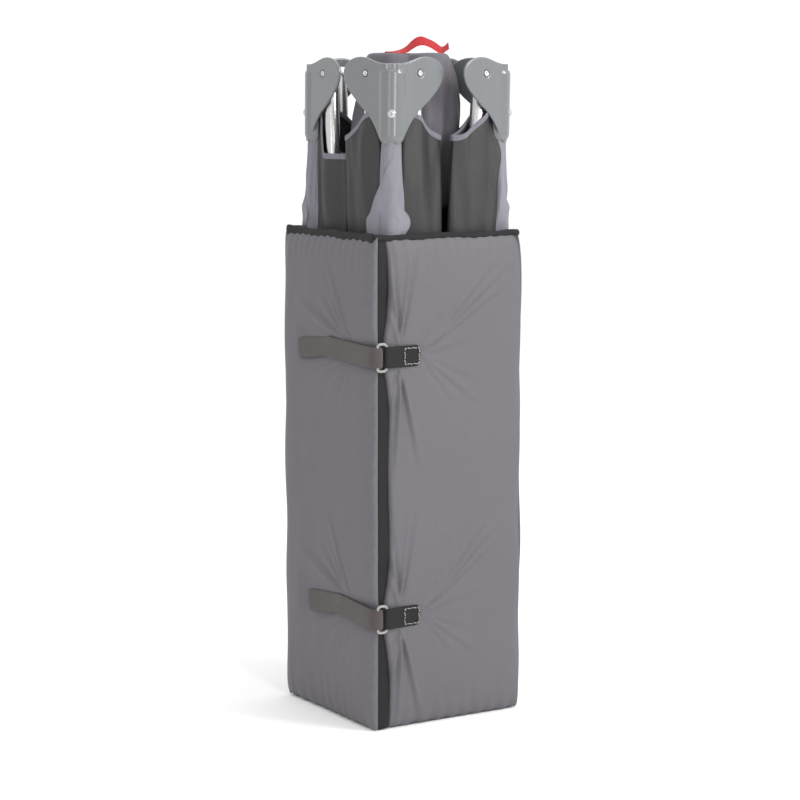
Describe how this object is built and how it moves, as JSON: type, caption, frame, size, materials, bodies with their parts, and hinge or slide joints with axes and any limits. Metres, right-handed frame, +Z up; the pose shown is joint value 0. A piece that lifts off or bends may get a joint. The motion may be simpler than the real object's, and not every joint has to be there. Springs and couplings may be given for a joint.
{
  "type": "folded travel cot",
  "caption": "Travel cot folded upright and wrapped in its own panelled mattress, held shut by straps, with corner pieces, rails and a gathered floor cloth showing on top.",
  "frame": {"origin": "on the floor, at the middle of the overall box", "axes": "+Z up. -Y is the front, the wide face with the webbing, and -X is the left face with the hook-and-loop tapes; the mattress ends meet at the edge between them"},
  "size_m": [0.212, 0.217, 0.8044],
  "materials": {
    "cover": "grey coated polyester, matte",
    "dark_fabric": "charcoal woven polyester",
    "light_fabric": "light grey woven polyester",
    "plastic": "grey moulded, satin",
    "steel": "bright plated tube",
    "black_webbing": "black woven webbing",
    "tape": "hook-and-loop pile",
    "ring": "pale translucent",
    "red_webbing": "red woven webbing"
  },
  "bodies": {
    "mattress_back": {"mattress_back": "cover"},
    "mattress_right": {"mattress_right": "cover"},
    "mattress_front": {"mattress_front": "cover", "strap_webbing_upper": "black_webbing", "strap_webbing_lower": "black_webbing"},
    "mattress_left": {"mattress_left": "cover"},
    "ring_upper": {"strap_ring_upper": "ring"},
    "ring_lower": {"strap_ring_lower": "ring"},
    "tape_upper": {"strap_tape_upper": "tape"},
    "tape_lower": {"strap_tape_lower": "tape"},
    "hub": {"hub": "plastic", "floor_bundle": "light_fabric", "pull_strap": "red_webbing"},
    "base_bar_back_right": {"base_bar_back_right": "steel"},
    "leg_back_right": {"leg_back_right": "steel", "leg_sleeve_back_right": "light_fabric", "corner_piece_back_right": "plastic", "corner_screw_back_right": "steel", "foot_back_right": "plastic"},
    "long_rail_back_right": {"long_rail_back_right": "steel", "long_rail_sleeve_back_right": "dark_fabric"},
    "short_rail_back_right": {"short_rail_back_right": "steel", "short_rail_sleeve_back_right": "dark_fabric"},
    "base_bar_back_left": {"base_bar_back_left": "steel"},
    "leg_back_left": {"leg_back_left": "steel", "leg_sleeve_back_left": "light_fabric", "corner_piece_back_left": "plastic", "corner_screw_back_left": "steel", "foot_back_left": "plastic"},
    "long_rail_back_left": {"long_rail_back_left": "steel", "long_rail_sleeve_back_left": "dark_fabric"},
    "short_rail_back_left": {"short_rail_back_left": "steel", "short_rail_sleeve_back_left": "dark_fabric"},
    "base_bar_front_left": {"base_bar_front_left": "steel"},
    "leg_front_left": {"leg_front_left": "steel", "leg_sleeve_front_left": "light_fabric", "corner_piece_front_left": "plastic", "corner_screw_front_left": "steel", "foot_front_left": "plastic"},
    "long_rail_front_left": {"long_rail_front_left": "steel", "long_rail_sleeve_front_left": "dark_fabric"},
    "short_rail_front_left": {"short_rail_front_left": "steel", "short_rail_sleeve_front_left": "dark_fabric"},
    "base_bar_front_right": {"base_bar_front_right": "steel"},
    "leg_front_right": {"leg_front_right": "steel", "leg_sleeve_front_right": "light_fabric", "corner_piece_front_right": "plastic", "corner_screw_front_right": "steel", "foot_front_right": "plastic"},
    "long_rail_front_right": {"long_rail_front_right": "steel", "long_rail_sleeve_front_right": "dark_fabric"},
    "short_rail_front_right": {"short_rail_front_right": "steel", "short_rail_sleeve_front_right": "dark_fabric"},
    "latch_back": {"latch_back": "plastic"},
    "latch_front": {"latch_front": "plastic"},
    "latch_right": {"latch_right": "plastic"},
    "latch_left": {"latch_left": "plastic"}
  },
  "joints": [
    {"name": "mattress_right_fold", "type": "hinge", "parent": "mattress_back", "child": "mattress_right", "pos_m": [0.106, 0.1085, 0.289], "axis": [0, 0, 1], "range_deg": [0, 90]},
    {"name": "mattress_front_fold", "type": "hinge", "parent": "mattress_right", "child": "mattress_front", "pos_m": [0.106, -0.1015, 0.289], "axis": [0, 0, 1], "range_deg": [0, 90]},
    {"name": "mattress_left_fold", "type": "hinge", "parent": "mattress_back", "child": "mattress_left", "pos_m": [-0.104, 0.1085, 0.289], "axis": [0, 0, -1], "range_deg": [0, 90]},
    {"name": "frame_lift", "type": "slide", "parent": "mattress_back", "child": "hub", "axis": [0, 0, 1], "range_m": [0, 0.8]},
    {"name": "ring_upper_swing", "type": "hinge", "parent": "mattress_front", "child": "ring_upper", "pos_m": [-0.087, -0.1052, 0.44], "axis": [0, 0, 1], "range_deg": [0, 60]},
    {"name": "tape_upper_peel", "type": "hinge", "parent": "mattress_left", "child": "tape_upper", "pos_m": [-0.1052, 0.0477, 0.44], "axis": [0, 0, -1], "range_deg": [0, 110]},
    {"name": "ring_lower_swing", "type": "hinge", "parent": "mattress_front", "child": "ring_lower", "pos_m": [-0.087, -0.1052, 0.133], "axis": [0, 0, 1], "range_deg": [0, 60]},
    {"name": "tape_lower_peel", "type": "hinge", "parent": "mattress_left", "child": "tape_lower", "pos_m": [-0.1052, 0.0477, 0.133], "axis": [0, 0, -1], "range_deg": [0, 110]},
    {"name": "frame_fold", "type": "hinge", "parent": "hub", "child": "base_bar_back_right", "pos_m": [0.01428, 0.03656, 0.71842], "axis": [0.5026, -0.8645, 0], "range_deg": [0, 0.12]},
    {"name": "leg_back_right_turn", "type": "hinge", "parent": "base_bar_back_right", "child": "leg_back_right", "pos_m": [0.04553, 0.05473, 0.062], "axis": [0.5026, -0.8645, 0], "range_deg": [-0.12, 0]},
    {"name": "long_rail_back_right_turn", "type": "hinge", "parent": "leg_back_right", "child": "long_rail_back_right", "pos_m": [0.03995, 0.08441, 0.764], "axis": [-0.0698, 0.9976, 0], "range_deg": [0, 0.12]},
    {"name": "short_rail_back_right_turn", "type": "hinge", "parent": "leg_back_right", "child": "short_rail_back_right", "pos_m": [0.07571, 0.05333, 0.764], "axis": [-0.9976, -0.0698, 0], "range_deg": [0, 0.12]},
    {"name": "base_bar_back_left_turn", "type": "hinge", "parent": "hub", "child": "base_bar_back_left", "pos_m": [-0.01675, 0.03439, 0.71842], "axis": [0.3774, 0.926, 0], "range_deg": [0, 0.12]},
    {"name": "leg_back_left_turn", "type": "hinge", "parent": "base_bar_back_left", "child": "leg_back_left", "pos_m": [-0.05023, 0.04804, 0.062], "axis": [0.3774, 0.926, 0], "range_deg": [-0.12, 0]},
    {"name": "long_rail_back_left_turn", "type": "hinge", "parent": "leg_back_left", "child": "long_rail_back_left", "pos_m": [-0.04883, 0.07821, 0.764], "axis": [0.0698, -0.9976, 0], "range_deg": [0, 0.12]},
    {"name": "short_rail_back_left_turn", "type": "hinge", "parent": "leg_back_left", "child": "short_rail_back_left", "pos_m": [-0.07991, 0.04245, 0.764], "axis": [-0.9976, -0.0698, 0], "range_deg": [0, 0.12]},
    {"name": "base_bar_front_left_turn", "type": "hinge", "parent": "hub", "child": "base_bar_front_left", "pos_m": [-0.01228, -0.02956, 0.71842], "axis": [-0.5026, 0.8645, 0], "range_deg": [0, 0.12]},
    {"name": "leg_front_left_turn", "type": "hinge", "parent": "base_bar_front_left", "child": "leg_front_left", "pos_m": [-0.04353, -0.04773, 0.062], "axis": [-0.5026, 0.8645, 0], "range_deg": [-0.12, 0]},
    {"name": "long_rail_front_left_turn", "type": "hinge", "parent": "leg_front_left", "child": "long_rail_front_left", "pos_m": [-0.03795, -0.07741, 0.764], "axis": [0.0698, -0.9976, 0], "range_deg": [0, 0.12]},
    {"name": "short_rail_front_left_turn", "type": "hinge", "parent": "leg_front_left", "child": "short_rail_front_left", "pos_m": [-0.07371, -0.04633, 0.764], "axis": [0.9976, 0.0698, 0], "range_deg": [0, 0.12]},
    {"name": "base_bar_front_right_turn", "type": "hinge", "parent": "hub", "child": "base_bar_front_right", "pos_m": [0.01875, -0.02739, 0.71842], "axis": [-0.3774, -0.926, 0], "range_deg": [0, 0.12]},
    {"name": "leg_front_right_turn", "type": "hinge", "parent": "base_bar_front_right", "child": "leg_front_right", "pos_m": [0.05223, -0.04104, 0.062], "axis": [-0.3774, -0.926, 0], "range_deg": [-0.12, 0]},
    {"name": "long_rail_front_right_turn", "type": "hinge", "parent": "leg_front_right", "child": "long_rail_front_right", "pos_m": [0.05083, -0.07121, 0.764], "axis": [-0.0698, 0.9976, 0], "range_deg": [0, 0.12]},
    {"name": "short_rail_front_right_turn", "type": "hinge", "parent": "leg_front_right", "child": "short_rail_front_right", "pos_m": [0.08191, -0.03545, 0.764], "axis": [0.9976, 0.0698, 0], "range_deg": [0, 0.12]},
    {"name": "latch_back_turn", "type": "hinge", "parent": "long_rail_back_right", "child": "latch_back", "pos_m": [0.00758, 0.08215, 0.17489], "axis": [-0.0698, 0.9976, 0], "range_deg": [-0.12, 0]},
    {"name": "latch_front_turn", "type": "hinge", "parent": "long_rail_front_right", "child": "latch_front", "pos_m": [0.01846, -0.07347, 0.17489], "axis": [-0.0698, 0.9976, 0], "range_deg": [-0.12, 0]},
    {"name": "latch_right_turn", "type": "hinge", "parent": "short_rail_back_right", "child": "latch_right", "pos_m": [0.07682, 0.03742, 0.47444], "axis": [-0.9976, -0.0698, 0], "range_deg": [-0.12, 0]},
    {"name": "latch_left_turn", "type": "hinge", "parent": "short_rail_back_left", "child": "latch_left", "pos_m": [-0.0788, 0.02654, 0.47444], "axis": [-0.9976, -0.0698, 0], "range_deg": [-0.12, 0]}
  ],
  "couplings": [
    {"joint": "leg_back_right_turn", "follows": "frame_fold", "ratio": -1},
    {"joint": "long_rail_back_right_turn", "follows": "frame_fold", "ratio": 1},
    {"joint": "short_rail_back_right_turn", "follows": "frame_fold", "ratio": 1},
    {"joint": "base_bar_back_left_turn", "follows": "frame_fold", "ratio": 1},
    {"joint": "leg_back_left_turn", "follows": "frame_fold", "ratio": -1},
    {"joint": "long_rail_back_left_turn", "follows": "frame_fold", "ratio": 1},
    {"joint": "short_rail_back_left_turn", "follows": "frame_fold", "ratio": 1},
    {"joint": "base_bar_front_left_turn", "follows": "frame_fold", "ratio": 1},
    {"joint": "leg_front_left_turn", "follows": "frame_fold", "ratio": -1},
    {"joint": "long_rail_front_left_turn", "follows": "frame_fold", "ratio": 1},
    {"joint": "short_rail_front_left_turn", "follows": "frame_fold", "ratio": 1},
    {"joint": "base_bar_front_right_turn", "follows": "frame_fold", "ratio": 1},
    {"joint": "leg_front_right_turn", "follows": "frame_fold", "ratio": -1},
    {"joint": "long_rail_front_right_turn", "follows": "frame_fold", "ratio": 1},
    {"joint": "short_rail_front_right_turn", "follows": "frame_fold", "ratio": 1},
    {"joint": "latch_back_turn", "follows": "frame_fold", "ratio": -1},
    {"joint": "latch_front_turn", "follows": "frame_fold", "ratio": -1},
    {"joint": "latch_right_turn", "follows": "frame_fold", "ratio": -1},
    {"joint": "latch_left_turn", "follows": "frame_fold", "ratio": -1}
  ]
}
